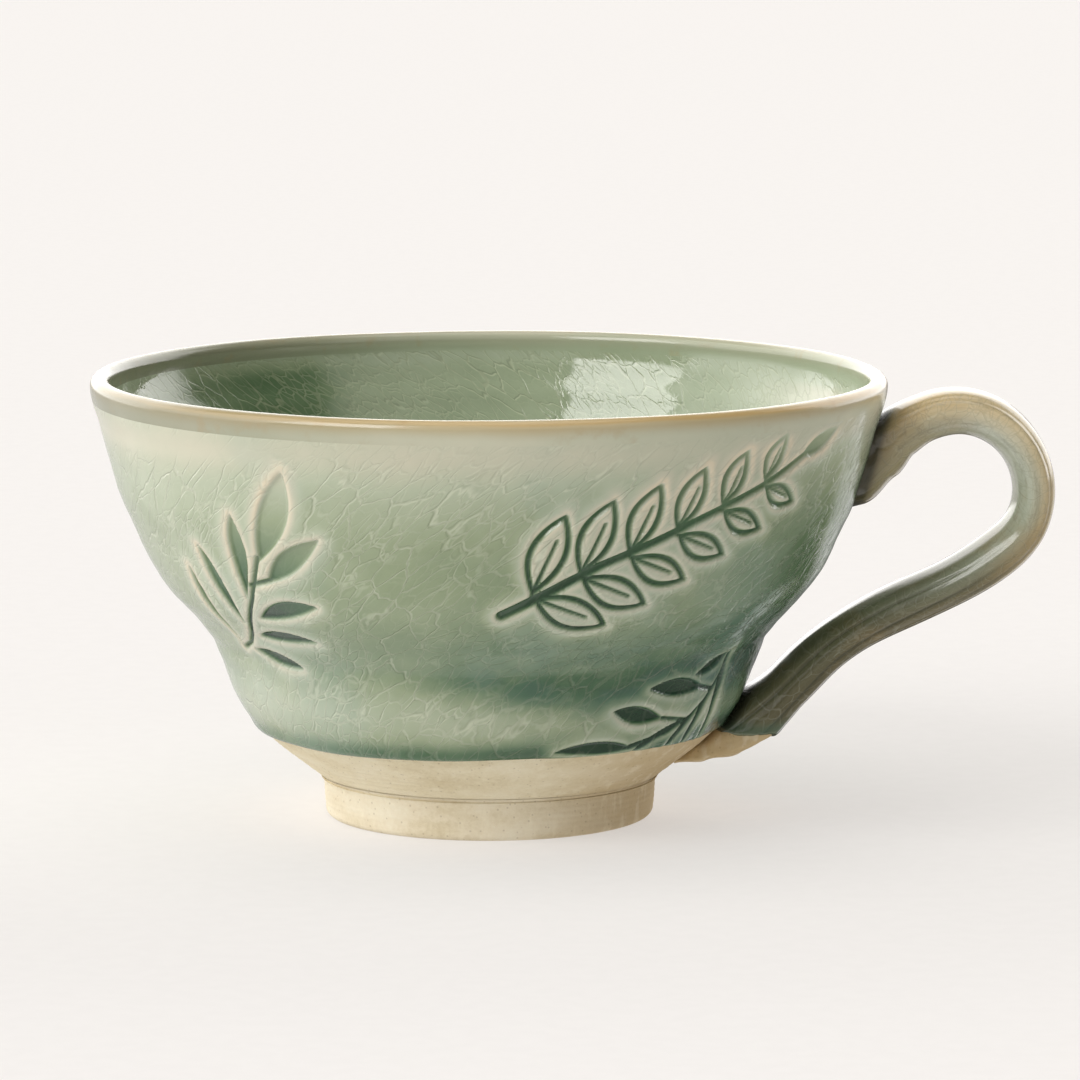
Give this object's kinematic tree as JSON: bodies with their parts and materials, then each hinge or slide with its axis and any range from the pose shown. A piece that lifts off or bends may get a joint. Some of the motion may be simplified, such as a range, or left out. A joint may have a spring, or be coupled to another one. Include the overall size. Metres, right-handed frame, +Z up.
{
  "type": "teacup",
  "caption": "Hand-thrown stoneware teacup: waisted bowl on a turned foot ring, pulled strap handle, celadon crackle glaze.",
  "frame": {"origin": "centre of the plane the foot ring stands on, on the bowl's axis", "axes": "+Z up through the mouth, +X from the bowl towards the handle, +Y to complete a right-handed frame"},
  "size_m": [0.1515, 0.125, 0.07],
  "materials": {
    "bare_clay": "matt sandy buff stoneware",
    "foot_clay": "matt turned buff stoneware",
    "handle_clay": "matt buff stoneware",
    "joint_clay": "matt buff stoneware slip",
    "inner_glaze": "glossy sage celadon, crackled",
    "outer_glaze": "glossy pale celadon, crackled",
    "rim_glaze": "glossy honey ochre",
    "handle_glaze": "glossy olive celadon, streaked"
  },
  "bodies": {
    "root": {"bowl_body": "bare_clay", "foot_ring": "foot_clay", "handle": "handle_clay", "upper_handle_joint": "joint_clay", "lower_handle_joint": "joint_clay", "inner_glaze": "inner_glaze", "outer_glaze": "outer_glaze", "rim_glaze": "rim_glaze", "handle_glaze": "handle_glaze"}
  },
  "joints": []
}
